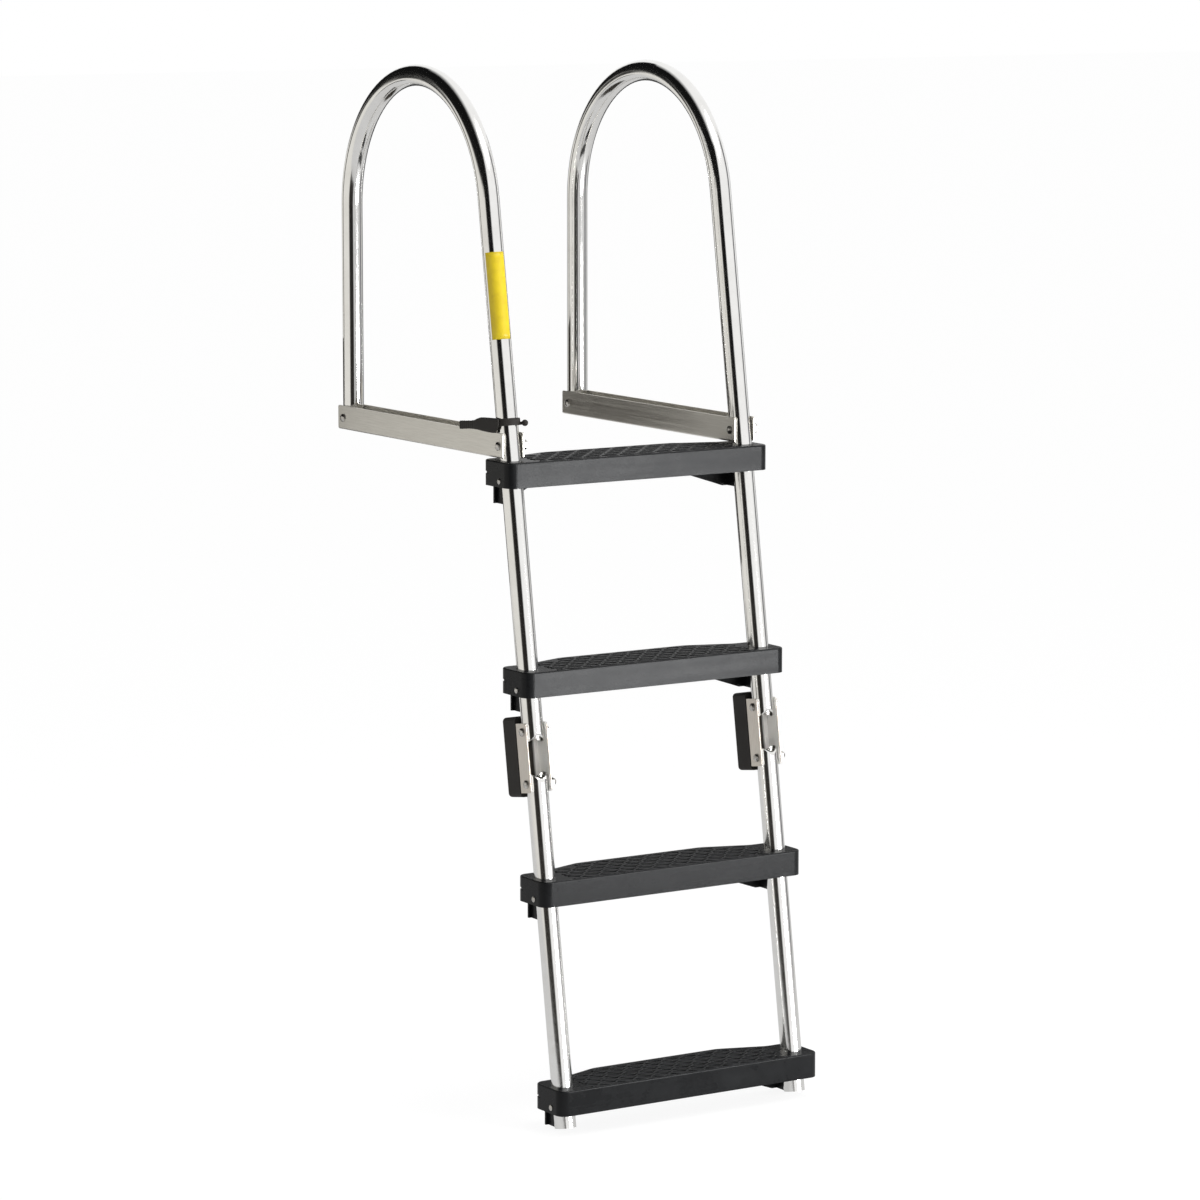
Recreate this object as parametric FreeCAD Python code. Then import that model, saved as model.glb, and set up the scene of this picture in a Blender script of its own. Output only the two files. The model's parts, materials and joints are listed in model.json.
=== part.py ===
import FreeCAD, Part
import math
import os

os.makedirs("parts", exist_ok=True)

Vector = FreeCAD.Vector

# Pontoon boat ladder, millimetres, +Z up, +Y towards the deck, -Y towards the water.
# The origin is on the underside of the left deck channel, midway between its deck screw holes.

# Tube and the two sides
tube_diameter = 31.75
tube_wall = 1.5
side_spacing = 406.4            # between the axes of the left and right stringers
lean_deg = 8.8                  # stringer's lean from upright, foot towards the water
slip_clearance = 0.25           # between pieces that are pushed together and stay put

# Deck channels
channel_bolt_spacing = 458.0    # front bolt to rear bolt, along the deck
channel_bolt_height = 17.5
channel_height = 36.5
channel_wall = 2.4
channel_front_margin = 12.5     # metal beyond the front bolt
channel_rear_margin = 15.0
channel_corner = 3.0
floor_notch_clearance = 1.0      # behind the front leg
deck_hole_spacing = 254.0
deck_hole_diameter = 8.5

# Handrail hoop
hoop_height = 529.0             # tube axis at the top of the hoop, above the channel bolts
rear_leg_gap = 1.0              # between the rear leg's end and the channel's floor

# Treads
tread_count_upper = 2
tread_count_lower = 2
tread_pitch = 304.8             # along the stringer
first_tread_drop = 21.0         # channel bolt down to the first tread's top face
tread_end_reach = 25.4          # tread beyond the stringer's axis at each end
tread_end_depth = 76.2
tread_bow = 25.4                # how far the rear edge stands out between the ends
tread_bow_run = 74.0            # length of the slanted stretch of the rear edge
tread_end_flat = 44.0           # straight stretch of the rear edge at each end
tread_skirt = 37.5
tread_top_thickness = 4.0
tread_wall = 3.6
tread_corner = 15.0
tread_bend_radius = 40.0        # where the rear edge turns
tread_edge_radius = 2.2
tread_rib_thickness = 2.4
tread_rib_drop = 9.0            # how far the ribs stop above the skirt's edge
tread_rib_count = 9
collar_wall = 3.2
lug_drop = 29.0                 # lug's foot below the skirt
lug_inner_reach = 10.5          # lug's flat foot from the tube axis towards the middle
lug_outer_reach = 6.0
gusset_run = 84.0
corner_groove_height = 4.0
corner_groove_depth = 1.4

# Tread screws, through the end wall into the tube
tread_screw_diameter = 5.0
tread_screw_head = 8.6
tread_screw_head_height = 2.6
tread_screw_rise = 9.0          # above the skirt's edge
tread_screw_advance = 9.0       # from the tube axis towards the water

# Folding hinge: a U link with a bolt through each tube, so that the two turns of 90 degrees fold it flat
hinge_below_tread = 167.75      # second tread's top face to the lower hinge bolt, along the stringer
hinge_bolt_spacing = 76.2
hinge_end_margin = 12.7
hinge_wall = 2.0
hinge_side_clearance = 0.4      # each side of the tubes
hinge_seat_clearance = 0.3      # between the tubes and the channel's back
hinge_front_reach = 12.0        # flange in front of the tube axis
hinge_corner = 5.0
stub_length = 24.0              # stringer below the last tread's skirt

# Bumper pads behind the hinges
pad_height = 117.0
pad_depth = 38.0
pad_corner = 6.0
pad_above_channel = 9.0

# Bolts
bolt_diameter = 7.9
bolt_hole_clearance = 0.15      # on the radius, where the bolt holds still
pivot_clearance = 0.08          # on the radius, where a tube turns on its hinge bolt
bolt_head_diameter = 12.4
bolt_head_height = 4.2
nut_width = 12.7
low_nut_height = 5.0
lock_nut_height = 8.5
acorn_nut_height = 12.5
washer_diameter = 14.6
washer_thickness = 1.2

# Stowing strap on the left stringer
strap_thickness = 3.2
strap_width = 11.0
strap_rise = 31.0               # strap's middle above the front channel bolt
strap_tail = 104.0              # tail's end behind the tube axis
strap_tail_rise = 19.5
strap_hump = 3.0
button_diameter = 9.6

# Derived sizes
tube_radius = tube_diameter / 2.0
lean = math.radians(lean_deg)
left_x = 0.0
right_x = side_spacing
middle_x = side_spacing / 2.0
tread_length = side_spacing + 2.0 * tread_end_reach
channel_inner = tube_diameter + 2.0 * slip_clearance
channel_outer = channel_inner + 2.0 * channel_wall
front_bolt_y = -channel_bolt_spacing / 2.0
rear_bolt_y = channel_bolt_spacing / 2.0
bolt_z = channel_bolt_height
first_tread_slide = first_tread_drop / math.cos(lean)
lower_hinge_slide = first_tread_slide + (tread_count_upper - 1) * tread_pitch + hinge_below_tread
upper_hinge_slide = lower_hinge_slide - hinge_bolt_spacing
hinge_inner = tube_diameter + 2.0 * hinge_side_clearance
hinge_outer = hinge_inner + 2.0 * hinge_wall
hinge_back = tube_radius + hinge_seat_clearance + hinge_wall
hinge_length = hinge_bolt_spacing + 2.0 * hinge_end_margin
last_tread_slide = first_tread_slide + (tread_count_upper + tread_count_lower - 1) * tread_pitch
stringer_end_slide = last_tread_slide + (tread_skirt + stub_length) / math.cos(lean)


def stringer_point(x, slide, ahead=0.0):
    """A point on a stringer: slide runs down its axis from the front bolt, ahead towards the water."""
    y = front_bolt_y - slide * math.sin(lean) - ahead * math.cos(lean)
    z = bolt_z - slide * math.cos(lean) + ahead * math.sin(lean)
    return Vector(x, y, z)


def along_stringer(shape, x, slide):
    """Tilts a shape drawn upright about its own origin and sets it on a stringer's axis."""
    placed = shape.copy()
    placed.rotate(Vector(0, 0, 0), Vector(1, 0, 0), -lean_deg)
    placed.translate(stringer_point(x, slide))
    return placed


def save(shape, node):
    shape = shape.removeSplitter() if len(shape.Solids) == 1 else shape
    shape.exportStep("parts/" + node + ".step")


# Handrail and stringer tubes

def hoop_radius():
    """The bend radius that meets the upright rear leg and the leaning front leg at the hoop's height."""
    reach = channel_bolt_spacing * math.cos(lean) - hoop_height * math.sin(lean)
    return reach / (1.0 + math.cos(lean) - math.sin(lean))


def hoop_centre(x):
    return Vector(x, rear_bolt_y - hoop_radius(), bolt_z + hoop_height - hoop_radius())


def handrail_bar(x, radius, reach):
    """A round bar up the rear leg, round the hoop and down to reach beyond the upper hinge bolt."""
    centre = hoop_centre(x)
    rear_foot = Vector(x, rear_bolt_y, channel_wall + rear_leg_gap)
    rear_leg = Part.makeCylinder(radius, centre.z - rear_foot.z, rear_foot)
    ring = Part.Circle(Vector(x, rear_bolt_y, centre.z), Vector(0, 0, 1), radius)
    bend = Part.Face(Part.Wire(ring.toShape())).revolve(centre, Vector(1, 0, 0), 180.0 - lean_deg)
    top_slide = (bolt_z - centre.z - hoop_radius() * math.sin(lean)) / math.cos(lean)
    top = stringer_point(x, top_slide)
    down = stringer_point(x, upper_hinge_slide + reach) - top
    front_leg = Part.makeCylinder(radius, down.Length, top, down)
    return rear_leg.fuse([bend, front_leg])


def cross_hole(x, y, z, radius, length):
    return Part.makeCylinder(radius, length, Vector(x - length / 2.0, y, z), Vector(1, 0, 0))


def end_waste(direction):
    """What is cut off a tube above (1) or below (-1) its hinge bolt, so that its end turns in the link."""
    half = tube_radius + 1.0
    waste = Part.makeBox(2.0 * half, 2.0 * half, 2.0 * half, Vector(-half, -half, 0))
    waste = waste.cut(cross_hole(0, 0, 0, tube_radius, 2.0 * half))
    if direction < 0:
        waste.rotate(Vector(0, 0, 0), Vector(1, 0, 0), 180)
    return waste


def handrail_tube(x):
    tube = handrail_bar(x, tube_radius, tube_radius)
    tube = tube.cut(handrail_bar(x, tube_radius - tube_wall, 2.0 * tube_radius))
    tube = tube.cut(along_stringer(end_waste(-1), x, upper_hinge_slide))
    channel_hole = bolt_diameter / 2.0 + bolt_hole_clearance
    hinge_hole = bolt_diameter / 2.0 + pivot_clearance
    for y in (front_bolt_y, rear_bolt_y):
        tube = tube.cut(cross_hole(x, y, bolt_z, channel_hole, 2.0 * tube_diameter))
    hinge = stringer_point(x, upper_hinge_slide)
    return tube.cut(cross_hole(x, hinge.y, hinge.z, hinge_hole, 2.0 * tube_diameter))


def lower_stringer(x):
    """The lower tube, drawn upright from its hinge bolt down."""
    length = stringer_end_slide - lower_hinge_slide
    tube = Part.makeCylinder(tube_radius, length + tube_radius, Vector(0, 0, -length))
    tube = tube.cut(Part.makeCylinder(tube_radius - tube_wall, length + tube_radius, Vector(0, 0, -length)))
    tube = tube.cut(end_waste(1))
    tube = tube.cut(cross_hole(0, 0, 0, bolt_diameter / 2.0 + pivot_clearance, 2.0 * tube_diameter))
    return along_stringer(tube, x, lower_hinge_slide)


# Channels

def u_channel(outer_width, height, wall, length, corner):
    """A U section standing open upwards, its web on the XY plane, running along +Y from the origin."""
    half = outer_width / 2.0
    inner = half - wall
    bend = min(corner, height / 3.0, half / 2.0)
    block = Part.makeBox(outer_width, length, height, Vector(-half, 0, 0))
    edges = [e for e in block.Edges if abs(e.Length - length) < 1e-6 and e.CenterOfMass.z < 1e-6]
    block = block.makeFillet(bend, edges)
    slot = Part.makeBox(2.0 * inner, length + 2.0, height, Vector(-inner, -1.0, wall))
    edges = [e for e in slot.Edges if abs(e.Length - length - 2.0) < 1e-6
             and abs(e.CenterOfMass.z - wall) < 1e-6]
    slot = slot.makeFillet(max(bend - wall, 0.4), edges)
    return block.cut(slot)


def rounded_flange_ends(channel, outer_width, height, length, radius):
    """Rounds the two upper corners at each end of both flanges."""
    half = outer_width / 2.0
    side = Part.makeBox(outer_width, length, height, Vector(-half, 0, 0))
    edges = [e for e in side.Edges if abs(e.Length - outer_width) < 1e-6
             and abs(e.CenterOfMass.z - height) < 1e-6]
    return channel.common(side.makeFillet(radius, edges))


def deck_channel(x):
    length = channel_bolt_spacing + channel_front_margin + channel_rear_margin
    channel = u_channel(channel_outer, channel_height, channel_wall, length, channel_corner)
    channel = rounded_flange_ends(channel, channel_outer, channel_height, length, channel_corner)
    channel.translate(Vector(x, front_bolt_y - channel_front_margin, 0))
    hole_radius = bolt_diameter / 2.0 + bolt_hole_clearance
    for y in (front_bolt_y, rear_bolt_y):
        channel = channel.cut(cross_hole(x, y, bolt_z, hole_radius, 2.0 * channel_outer))
    for y in (-deck_hole_spacing / 2.0, deck_hole_spacing / 2.0):
        channel = channel.cut(Part.makeCylinder(deck_hole_diameter / 2.0, 4.0 * channel_wall,
                                                Vector(x, y, -channel_wall)))
    return channel.cut(front_leg_passage(x))


def front_leg_passage(x):
    """The notch in the channel's floor that the leaning front leg runs down through."""
    axis_y = front_bolt_y - bolt_z * math.tan(lean)
    back = axis_y + tube_radius / math.cos(lean) + floor_notch_clearance
    front = front_bolt_y - channel_front_margin - 1.0
    return Part.makeBox(channel_inner, back - front, channel_wall + channel_corner,
                        Vector(x - channel_inner / 2.0, front, -1.0))


def hinge_channel(x):
    """The U link that joins the two tubes, open towards the water, upright about its lower bolt."""
    depth = hinge_back + hinge_front_reach
    channel = u_channel(hinge_outer, depth, hinge_wall, hinge_length, channel_corner)
    channel = rounded_flange_ends(channel, hinge_outer, depth, hinge_length, hinge_corner)
    channel.rotate(Vector(0, 0, 0), Vector(1, 0, 0), 90)
    channel.translate(Vector(0, hinge_back, -hinge_end_margin))
    channel = channel.cut(cross_hole(0, 0, 0, bolt_diameter / 2.0 + bolt_hole_clearance, 2 * hinge_outer))
    channel = channel.cut(cross_hole(0, 0, hinge_bolt_spacing, bolt_diameter / 2.0 + bolt_hole_clearance,
                                     2 * hinge_outer))
    return along_stringer(channel, x, lower_hinge_slide)


def bumper_pad(x):
    top = hinge_length - hinge_end_margin + pad_above_channel
    pad = Part.makeBox(hinge_outer, pad_depth, pad_height,
                       Vector(-hinge_outer / 2.0, hinge_back, top - pad_height))
    edges = [e for e in pad.Edges if e.CenterOfMass.y > hinge_back + 1.0]
    pad = pad.makeFillet(pad_corner, edges)
    return along_stringer(pad, x, lower_hinge_slide)


# Treads, drawn with their top face at z = 0 and the tube axis crossing it at y = 0

def tread_outline():
    """The plan: straight front, round corners, and a rear edge that bows out between the ends."""
    half = tread_length / 2.0
    front = -tread_end_depth / 2.0
    rear = tread_end_depth / 2.0
    bowed = rear + tread_bow
    knee = half - tread_end_flat
    crown = knee - tread_bow_run
    corners = [
        (Vector(-half, front, 0), tread_corner),
        (Vector(half, front, 0), tread_corner),
        (Vector(half, rear, 0), tread_corner),
        (Vector(knee, rear, 0), tread_bend_radius),
        (Vector(crown, bowed, 0), tread_bend_radius),
        (Vector(-crown, bowed, 0), tread_bend_radius),
        (Vector(-knee, rear, 0), tread_bend_radius),
        (Vector(-half, rear, 0), tread_corner),
    ]
    return rounded_polygon(corners)


def rounded_polygon(corners):
    """A closed wire through the corners, each one rounded by its own radius."""
    starts = []
    ends = []
    arcs = []
    for i, (corner, radius) in enumerate(corners):
        before = (corners[i - 1][0] - corner).normalize()
        after = (corners[(i + 1) % len(corners)][0] - corner).normalize()
        half_angle = before.getAngle(after) / 2.0
        tangent = radius / math.tan(half_angle)
        towards_centre = (before + after).normalize()
        centre = corner + towards_centre * (radius / math.sin(half_angle))
        starts.append(corner + before * tangent)
        ends.append(corner + after * tangent)
        arcs.append(centre - towards_centre * radius)
    edges = []
    for i in range(len(corners)):
        edges.append(Part.Arc(starts[i], arcs[i], ends[i]).toShape())
        edges.append(Part.LineSegment(ends[i], starts[(i + 1) % len(corners)]).toShape())
    return Part.Wire(edges)


def tread_shell():
    outline = tread_outline()
    block = Part.Face(outline).extrude(Vector(0, 0, -tread_skirt))
    rim = [e for e in block.Edges if abs(e.CenterOfMass.z) < 1e-6]
    block = block.makeFillet(tread_edge_radius, rim)
    inner = Part.Face(outline).makeOffset2D(-tread_wall)
    inner.translate(Vector(0, 0, -tread_skirt - 1.0))
    hollow = inner.extrude(Vector(0, 0, tread_skirt + 1.0 - tread_top_thickness))
    return block.cut(hollow)


def gusset_profile(side):
    """The rear wall's deep end in elevation: a flat foot at the tube, sloping up towards the middle."""
    tube_x = side * side_spacing / 2.0
    outer_x = tube_x + side * lug_outer_reach
    inner_x = tube_x - side * lug_inner_reach
    end_x = inner_x - side * gusset_run
    high = -tread_skirt + 1.0
    low = -tread_skirt - lug_drop
    points = [Vector(outer_x, 0, high), Vector(outer_x, 0, low), Vector(inner_x, 0, low),
              Vector(end_x, 0, -tread_skirt), Vector(end_x, 0, high), Vector(outer_x, 0, high)]
    face = Part.Face(Part.makePolygon(points))
    return face.extrude(Vector(0, tread_end_depth + tread_bow, 0))


def deep_rear_wall():
    outline = Part.Face(tread_outline())
    ring = outline.cut(outline.makeOffset2D(-tread_wall))
    ring.translate(Vector(0, 0, 0.5 - tread_skirt))
    return ring.extrude(Vector(0, 0, -lug_drop - 0.5))


def tread_gussets():
    wall = deep_rear_wall()
    left = wall.common(gusset_profile(-1))
    right = wall.common(gusset_profile(1))
    return [left, right]


def lug_ribs():
    """A plate from each lug forward to the tube, in line with the tube's axis."""
    ribs = []
    rear = tread_end_depth / 2.0 - tread_wall / 2.0
    for side in (-1, 1):
        x = side * side_spacing / 2.0 - tread_wall / 2.0
        height = lug_drop + tread_skirt - tread_top_thickness
        ribs.append(Part.makeBox(tread_wall, rear, height, Vector(x, 0, -tread_skirt - lug_drop)))
    return ribs


def tread_ribs():
    """Cross ribs under the top plate and one rib along its length."""
    half = tread_length / 2.0 - tread_wall
    deep = tread_skirt - tread_top_thickness - tread_rib_drop
    base = -tread_top_thickness - deep
    front = -tread_end_depth / 2.0 + tread_wall / 2.0
    ribs = [Part.makeBox(2.0 * half, tread_rib_thickness, deep + 0.5,
                         Vector(-half, -tread_rib_thickness / 2.0, base))]
    span = side_spacing - 2.0 * (tube_radius + collar_wall + tread_rib_thickness)
    step = span / (tread_rib_count + 1)
    inside = Part.Face(tread_outline()).makeOffset2D(-tread_wall / 2.0)
    inside.translate(Vector(0, 0, base))
    room = inside.extrude(Vector(0, 0, deep + 0.5))
    for i in range(tread_rib_count):
        x = -span / 2.0 + (i + 1) * step - tread_rib_thickness / 2.0
        rib = Part.makeBox(tread_rib_thickness, tread_end_depth + tread_bow, deep + 0.5,
                           Vector(x, front, base))
        ribs.append(rib.common(room))
    return ribs


def leaning_round(x, radius, low, high):
    """A round bar along the stringer's axis through a tread, between two heights."""
    foot = Vector(x, low * math.tan(lean), low)
    top = Vector(x, high * math.tan(lean), high)
    return Part.makeCylinder(radius, (top - foot).Length, foot, top - foot)


def tread_collars():
    collars = []
    for side in (-1, 1):
        bar = leaning_round(side * side_spacing / 2.0, tube_radius + collar_wall,
                            -tread_skirt, -tread_top_thickness / 2.0)
        cap = Part.makeBox(tread_length, tread_length, tread_skirt - tread_top_thickness / 2.0,
                           Vector(-tread_length / 2.0, -tread_length / 2.0, -tread_skirt))
        collars.append(bar.common(cap))
    return collars


def corner_grooves():
    """A shallow groove round each rear corner, halfway up the skirt."""
    outline = Part.Face(tread_outline())
    band = outline.cut(outline.makeOffset2D(-corner_groove_depth))
    band.translate(Vector(0, 0, -(tread_skirt + corner_groove_height) / 2.0))
    band = band.extrude(Vector(0, 0, corner_groove_height))
    grooves = []
    for side in (-1, 1):
        x = side * tread_length / 2.0 - (tread_corner if side > 0 else 0.0)
        room = Part.makeBox(tread_corner, tread_corner + 4.0, tread_skirt,
                            Vector(x, tread_end_depth / 2.0 - tread_corner - 4.0, -tread_skirt))
        grooves.append(band.common(room))
    return grooves


def tread_screw_place(side):
    z = -tread_skirt + tread_screw_rise
    y = z * math.tan(lean) - tread_screw_advance + tread_skirt * math.tan(lean) / 2.0
    return Vector(side * tread_length / 2.0, y, z)


def tread_body():
    body = tread_shell()
    body = body.fuse(tread_ribs() + tread_collars() + lug_ribs() + tread_gussets())
    body = body.removeSplitter()
    for side in (-1, 1):
        x = side * side_spacing / 2.0
        body = body.cut(leaning_round(x, tube_radius + slip_clearance, -2.5 * tread_skirt, tread_skirt))
        place = tread_screw_place(side)
        hole = cross_hole(place.x, place.y, place.z, tread_screw_diameter / 2.0 + bolt_hole_clearance,
                          tread_length - side_spacing)
        body = body.cut(hole)
    body = body.cut(Part.makeCompound(corner_grooves()))
    return max(body.Solids, key=lambda s: s.Volume)


def tread_screws():
    """A pan-headed screw at each end of a tread, from the end wall to the tube."""
    screws = []
    for side in (-1, 1):
        place = tread_screw_place(side)
        depth = abs(place.y - place.z * math.tan(lean)) - tread_screw_diameter / 2.0
        reach = math.sqrt(tube_radius ** 2 - max(depth, 0.0) ** 2)
        length = (tread_length - side_spacing) / 2.0 - reach - slip_clearance
        shank = Part.makeCylinder(tread_screw_diameter / 2.0, length, Vector(0, 0, -length))
        screws.append(placed_across(shank.fuse(pan_head(tread_screw_head, tread_screw_head_height)),
                                    place, side))
    return Part.makeCompound(screws)


# Fasteners, drawn along +Z with the head's seat at z = 0

def pan_head(diameter, height):
    """A low domed head: a short cylinder under a shallow round cap."""
    rise = 0.65 * height
    cap_radius = ((diameter / 2.0) ** 2 + rise ** 2) / (2.0 * rise)
    cap = Part.makeSphere(cap_radius, Vector(0, 0, height - cap_radius))
    return Part.makeCylinder(diameter / 2.0, height).common(cap)


def hexagon(width, height, base):
    radius = width / math.sqrt(3.0)
    corners = [Vector(radius * math.cos(math.radians(60 * i)), radius * math.sin(math.radians(60 * i)), base)
               for i in range(7)]
    return Part.Face(Part.makePolygon(corners)).extrude(Vector(0, 0, height))


def acorn_nut(base):
    """A hexagon with a domed cap."""
    skirt = 0.5 * acorn_nut_height
    dome_radius = 0.46 * nut_width
    dome = Part.makeSphere(dome_radius, Vector(0, 0, base + acorn_nut_height - dome_radius))
    neck = Part.makeCylinder(dome_radius, acorn_nut_height - dome_radius - skirt, Vector(0, 0, base + skirt))
    below = Part.makeBox(4 * nut_width, 4 * nut_width, acorn_nut_height,
                         Vector(-2 * nut_width, -2 * nut_width, base + skirt))
    return hexagon(nut_width, skirt, base).fuse(neck.fuse(dome).common(below)).removeSplitter()


def placed_across(shape, point, side):
    """Turns a fastener so that its head faces -X or +X and sets its seat on a point."""
    placed = shape.copy()
    placed.rotate(Vector(0, 0, 0), Vector(0, 1, 0), 90 * side)
    placed.translate(point)
    return placed


def through_bolt(centre, grip, nut):
    """A button-headed bolt across a channel, head towards -X, washer and nut on the other flange."""
    nut_seat = Vector(0, 0, -grip - washer_thickness)
    shank = Part.makeCylinder(bolt_diameter / 2.0, grip + washer_thickness, nut_seat)
    bolt = shank.fuse(pan_head(bolt_head_diameter, bolt_head_height))
    washer = Part.makeCylinder(washer_diameter / 2.0, washer_thickness, nut_seat)
    nut = nut.copy()
    nut.rotate(Vector(0, 0, 0), Vector(1, 0, 0), 180)
    nut.translate(nut_seat)
    bolt = bolt.fuse([washer, nut]).removeSplitter()
    return placed_across(bolt, centre - Vector(grip / 2.0, 0, 0), -1)


def channel_bolt(x, y):
    return through_bolt(Vector(x, y, bolt_z), channel_outer, hexagon(nut_width, lock_nut_height, 0))


def upper_hinge_bolt(x):
    nut = hexagon(nut_width, low_nut_height, 0)
    return through_bolt(stringer_point(x, upper_hinge_slide), hinge_outer, nut)


def lower_hinge_bolt(x):
    return through_bolt(stringer_point(x, lower_hinge_slide), hinge_outer, acorn_nut(0))


# Stowing strap

def stow_strap(x):
    """A rubber band round the stringer with a tail that lies along the channel's outer side."""
    inner = tube_radius + slip_clearance
    ring = Part.makeCylinder(inner + strap_thickness, strap_width, Vector(0, 0, -strap_width / 2.0))
    bore = Part.makeCylinder(inner, 2.0 * strap_width, Vector(0, 0, -strap_width))
    ring = along_stringer(ring, x, -strap_rise)
    tail_x = x - channel_outer / 2.0 - slip_clearance - strap_thickness
    middle = stringer_point(x, -strap_rise)
    end_y = front_bolt_y + strap_tail
    end_z = bolt_z + strap_tail_rise
    half = strap_width / 2.0
    points = [
        Vector(tail_x, middle.y - 2.0, middle.z - half),
        Vector(tail_x, middle.y - 2.0, middle.z + half),
        Vector(tail_x, (middle.y + end_y) / 2.0, (middle.z + end_z) / 2.0 + half + strap_hump),
        Vector(tail_x, end_y, end_z + half),
        Vector(tail_x, end_y, end_z - half),
        Vector(tail_x, (middle.y + end_y) / 2.0, (middle.z + end_z) / 2.0 - half),
        Vector(tail_x, middle.y - 2.0, middle.z - half),
    ]
    tail = Part.Face(Part.makePolygon(points)).extrude(Vector(strap_thickness, 0, 0))
    bridge = Part.makeBox(x - tail_x, strap_thickness, strap_width,
                          Vector(tail_x, middle.y - 2.0, middle.z - half))
    return ring.fuse([tail, bridge]).cut(along_stringer(bore, x, -strap_rise))


def strap_button(x):
    """The pull knob on the band, towards the middle and the water."""
    inner = tube_radius + slip_clearance + strap_thickness
    slant = math.sqrt(0.5)
    outwards = Vector(slant, -slant, 0)
    stem = Part.makeCylinder(button_diameter / 4.0, button_diameter, Vector(0, 0, 0), outwards)
    knob = stem.fuse(Part.makeSphere(button_diameter / 2.0, outwards * button_diameter * 0.8))
    knob.translate(outwards * (inner - 0.5))
    band = Part.makeCylinder(inner, 4.0 * strap_width, Vector(0, 0, -2.0 * strap_width))
    return along_stringer(knob.cut(band), x, -strap_rise)


# Write every node

def write_side(name, x):
    save(handrail_tube(x), "handrail_tube_" + name)
    save(deck_channel(x), "deck_channel_" + name)
    save(channel_bolt(x, front_bolt_y), "front_channel_bolt_" + name)
    save(channel_bolt(x, rear_bolt_y), "rear_channel_bolt_" + name)
    save(hinge_channel(x), "hinge_channel_" + name)
    save(bumper_pad(x), "bumper_pad_" + name)
    save(upper_hinge_bolt(x), "upper_hinge_bolt_" + name)
    save(lower_hinge_bolt(x), "lower_hinge_bolt_" + name)
    save(lower_stringer(x), "lower_stringer_" + name)


def write_treads():
    body = tread_body()
    screws = tread_screws()
    for i in range(tread_count_upper + tread_count_lower):
        axis = stringer_point(middle_x, first_tread_slide + i * tread_pitch)
        tread = body.copy()
        tread.translate(axis)
        save(tread, "tread_%d" % (i + 1))
        pair = screws.copy()
        pair.translate(axis)
        save(pair, "tread_screws_%d" % (i + 1))


write_side("left", left_x)
write_side("right", right_x)
write_treads()
save(stow_strap(left_x), "stow_strap")
save(strap_button(left_x), "strap_button")
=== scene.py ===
# %% [markdown]
# # A folding ladder for a pontoon boat
# The CAD model is the frame: every tube, channel, tread and bolt is already there at its real size.
# This lesson gives the pieces their finish, adds what is too fine for CAD, and sets up the studio.

# %% Load the frame
import json
import math

import bmesh
import bpy
from mathutils import Matrix, Vector


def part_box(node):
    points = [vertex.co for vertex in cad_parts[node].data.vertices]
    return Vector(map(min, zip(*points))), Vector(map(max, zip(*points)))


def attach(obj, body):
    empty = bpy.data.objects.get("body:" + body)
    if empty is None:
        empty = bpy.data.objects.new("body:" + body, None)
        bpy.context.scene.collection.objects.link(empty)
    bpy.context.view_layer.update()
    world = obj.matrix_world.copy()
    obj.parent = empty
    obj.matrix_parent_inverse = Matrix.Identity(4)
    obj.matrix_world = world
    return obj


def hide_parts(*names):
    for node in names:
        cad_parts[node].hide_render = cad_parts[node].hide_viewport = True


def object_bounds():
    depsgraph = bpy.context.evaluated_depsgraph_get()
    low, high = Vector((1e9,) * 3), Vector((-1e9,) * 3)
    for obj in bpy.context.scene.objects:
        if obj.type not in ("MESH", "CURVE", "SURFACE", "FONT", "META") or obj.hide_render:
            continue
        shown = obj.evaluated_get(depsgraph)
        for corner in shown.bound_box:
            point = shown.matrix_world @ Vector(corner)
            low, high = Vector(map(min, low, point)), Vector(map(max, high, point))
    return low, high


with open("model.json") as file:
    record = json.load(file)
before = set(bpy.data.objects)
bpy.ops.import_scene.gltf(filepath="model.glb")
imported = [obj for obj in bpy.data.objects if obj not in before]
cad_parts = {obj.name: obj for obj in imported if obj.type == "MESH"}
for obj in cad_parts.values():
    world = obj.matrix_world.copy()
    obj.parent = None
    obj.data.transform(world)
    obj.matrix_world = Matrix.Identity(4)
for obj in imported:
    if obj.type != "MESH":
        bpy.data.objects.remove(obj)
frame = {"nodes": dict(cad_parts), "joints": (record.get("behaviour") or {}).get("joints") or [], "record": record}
cad_box = [list(corner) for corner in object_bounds()]
print("CAD box", [[round(v, 3) for v in corner] for corner in cad_box])

# %% [markdown]
# Two lines carry the whole design: the upright rear legs and the stringers, which lean towards the water.
# The lean is read from the two hinge joints, which both lie on the stringer's axis, so nothing is typed
# twice. Places along a stringer are given as a slide, in metres down from the front channel bolt.

# %% Places from the frame
MM = 0.001
TUBE_RADIUS = 31.75 / 2 * MM
SIDE_SPACING = 406.4 * MM
SIDEWAYS = Vector((1.0, 0.0, 0.0))
middle_x = SIDE_SPACING / 2
joint_at = {joint["name"]: Vector(joint["pos_m"]) for joint in frame["joints"]}
along = (joint_at["lower_fold"] - joint_at["link_swing"]).normalized()
ahead = Vector((0.0, along.z, -along.y))
bolt_low, bolt_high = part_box("front_channel_bolt_left")
front_bolt = Vector((0.0, (bolt_low.y + bolt_high.y) / 2, (bolt_low.z + bolt_high.z) / 2))
print("stringer direction", tuple(round(v, 4) for v in along))
print("front bolt", tuple(round(v, 4) for v in front_bolt))


def on_stringer(slide):
    """A point on the left stringer's axis."""
    return front_bolt + along * slide


def outwards(angle):
    """The direction away from a tube's axis at an angle round it: 0 is ahead, positive to the right."""
    return SIDEWAYS * math.sin(angle) + ahead * math.cos(angle)


# %% [markdown]
# ## Camera
# The viewing angle was worked out from the photograph: the camera stands 7 m away on the left, a little
# above, with a long lens. The aim point is given relative to the middle of the two front channel bolts.

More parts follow.
